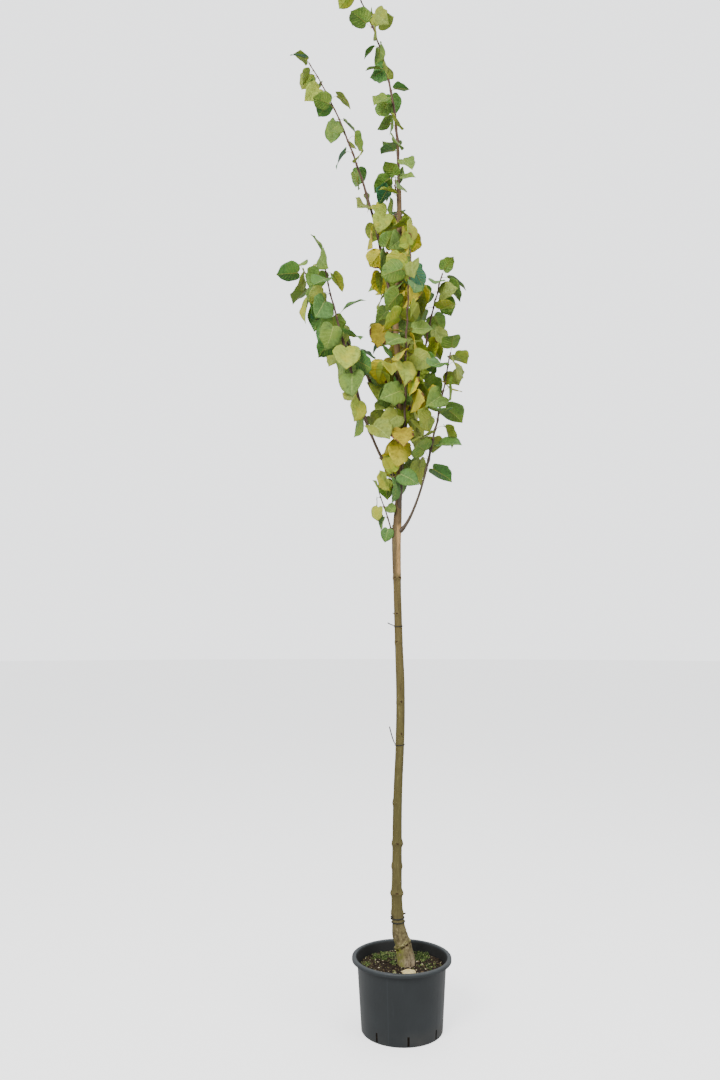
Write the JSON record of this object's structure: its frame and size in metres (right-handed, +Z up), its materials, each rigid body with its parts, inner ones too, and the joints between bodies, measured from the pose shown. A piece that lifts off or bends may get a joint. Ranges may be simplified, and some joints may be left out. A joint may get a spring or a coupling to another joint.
{
  "type": "linden tree",
  "caption": "Young linden tree with a slender trunk, light upright boughs and heart-shaped leaves, standing in a round nursery pot.",
  "frame": {"origin": "centre of the pot's flat underside, where it meets the ground", "axes": "+Z up along the trunk, +X to the right and -Y to the front, as the picture looks at it"},
  "size_m": [0.9239, 0.6049, 4.8191],
  "materials": {
    "pot": "satin",
    "soil": "matte",
    "bark": "matte",
    "young_bark": "satin",
    "leaves": "matte",
    "tie": "satin"
  },
  "bodies": {
    "root": {"bough_back": "young_bark", "bough_front": "young_bark", "bough_lower_left": "young_bark", "bough_lower_right": "young_bark", "bough_middle_left": "young_bark", "bough_upper_left": "young_bark", "bough_upper_right": "young_bark", "foliage_back": "leaves", "foliage_fork_twig": "leaves", "foliage_front": "leaves", "foliage_leader": "leaves", "foliage_lower_left": "leaves", "foliage_lower_right": "leaves", "foliage_middle_left": "leaves", "foliage_trunk_01": "leaves", "foliage_trunk_02": "leaves", "foliage_trunk_03": "leaves", "foliage_trunk_04": "leaves", "foliage_trunk_05": "leaves", "foliage_trunk_06": "leaves", "foliage_trunk_07": "leaves", "foliage_trunk_08": "leaves", "foliage_trunk_09": "leaves", "foliage_trunk_10": "leaves", "foliage_trunk_11": "leaves", "foliage_trunk_12": "leaves", "foliage_trunk_13": "leaves", "foliage_trunk_14": "leaves", "foliage_upper_left": "leaves", "foliage_upper_right": "leaves", "pot": "pot", "soil": "soil", "tie_foot_high": "tie", "tie_foot_low": "tie", "tie_middle": "tie", "tie_upper": "tie", "trunk": "bark"}
  },
  "joints": []
}
